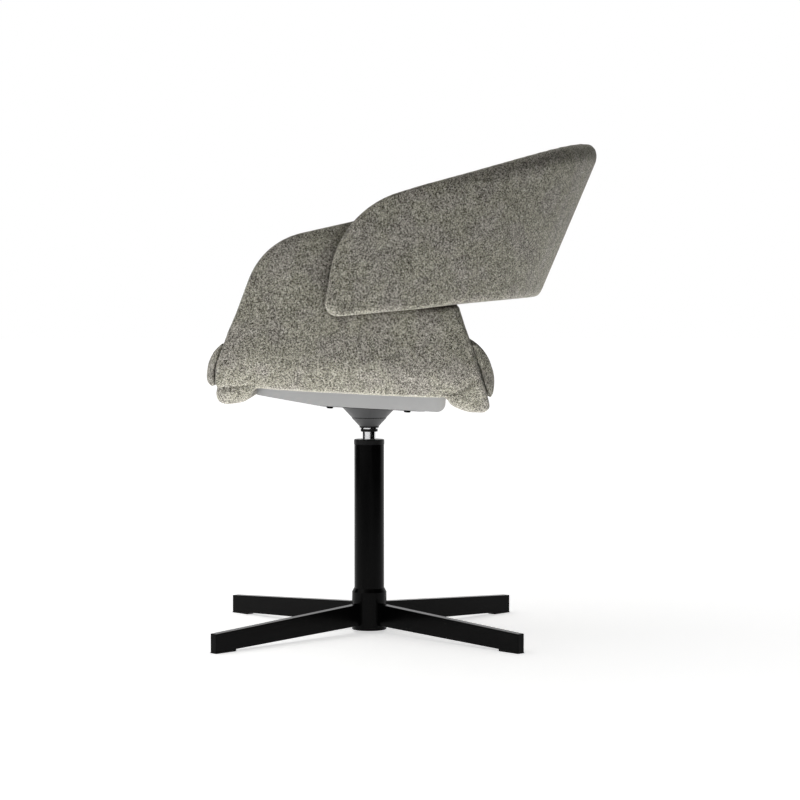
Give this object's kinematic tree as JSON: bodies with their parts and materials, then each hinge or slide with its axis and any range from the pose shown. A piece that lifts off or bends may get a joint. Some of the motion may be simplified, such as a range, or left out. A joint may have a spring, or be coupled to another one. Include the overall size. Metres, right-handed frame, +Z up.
{
  "type": "swivel dining chair",
  "caption": "Upholstered bucket armchair with a wrap-round back band, swivelling on a slim post with a flat-bar cross base.",
  "frame": {"origin": "point of the floor under the swivel axis", "axes": "+Z up along the swivel axis, +Y to the back of the chair, +X to the sitter's left"},
  "size_m": [0.604, 0.6048, 0.7801],
  "materials": {
    "black_metal": "satin black powder coat",
    "black_plastic": "satin black",
    "polished_steel": "polished",
    "plain_steel": "plain",
    "cone_grey": "satin dark grey",
    "tray_grey": "satin pale grey",
    "board": "moulded plywood",
    "upholstery": "heathered grey wool felt"
  },
  "bodies": {
    "base": {"base_bar_front_left": "black_metal", "base_bar_front_right": "black_metal", "base_bar_rear_left": "black_metal", "base_bar_rear_right": "black_metal", "glide_front_left": "black_plastic", "glide_front_right": "black_plastic", "glide_rear_left": "black_plastic", "glide_rear_right": "black_plastic", "base_hub": "black_metal", "hub_plug": "black_plastic", "post_tube": "black_metal", "post_cap": "black_plastic", "lower_bush": "black_plastic", "post_floor": "plain_steel", "bearing_race_lower": "plain_steel"},
    "bearing": {"ball_cage": "black_plastic", "bearing_balls": "plain_steel"},
    "seat": {"spindle": "polished_steel", "bearing_race_upper": "plain_steel", "clip_washer": "plain_steel", "spindle_clip": "plain_steel", "dust_ring": "black_plastic", "slip_washer": "polished_steel", "cone_collar": "black_plastic", "cone_cover_lower": "cone_grey", "cone_ring": "black_plastic", "cone_cover_upper": "cone_grey", "swivel_socket": "plain_steel", "mounting_plate": "black_metal", "seat_tray": "tray_grey", "plate_screws": "black_metal", "seat_nuts": "plain_steel", "seat_board": "board", "seat_shell": "upholstery", "seat_cushion": "upholstery", "back_screws": "plain_steel", "back_nuts": "plain_steel", "back_board": "board", "back_band": "upholstery"}
  },
  "joints": [
    {"name": "seat_swivel", "type": "hinge", "parent": "base", "child": "seat", "pos_m": [0, 0, 0.3], "axis": [0, 0, 1], "continuous": true},
    {"name": "cage_roll", "type": "hinge", "parent": "base", "child": "bearing", "pos_m": [0, 0, 0.027], "axis": [0, 0, 1], "continuous": true}
  ],
  "couplings": [
    {"joint": "cage_roll", "follows": "seat_swivel", "ratio": 0.5}
  ]
}
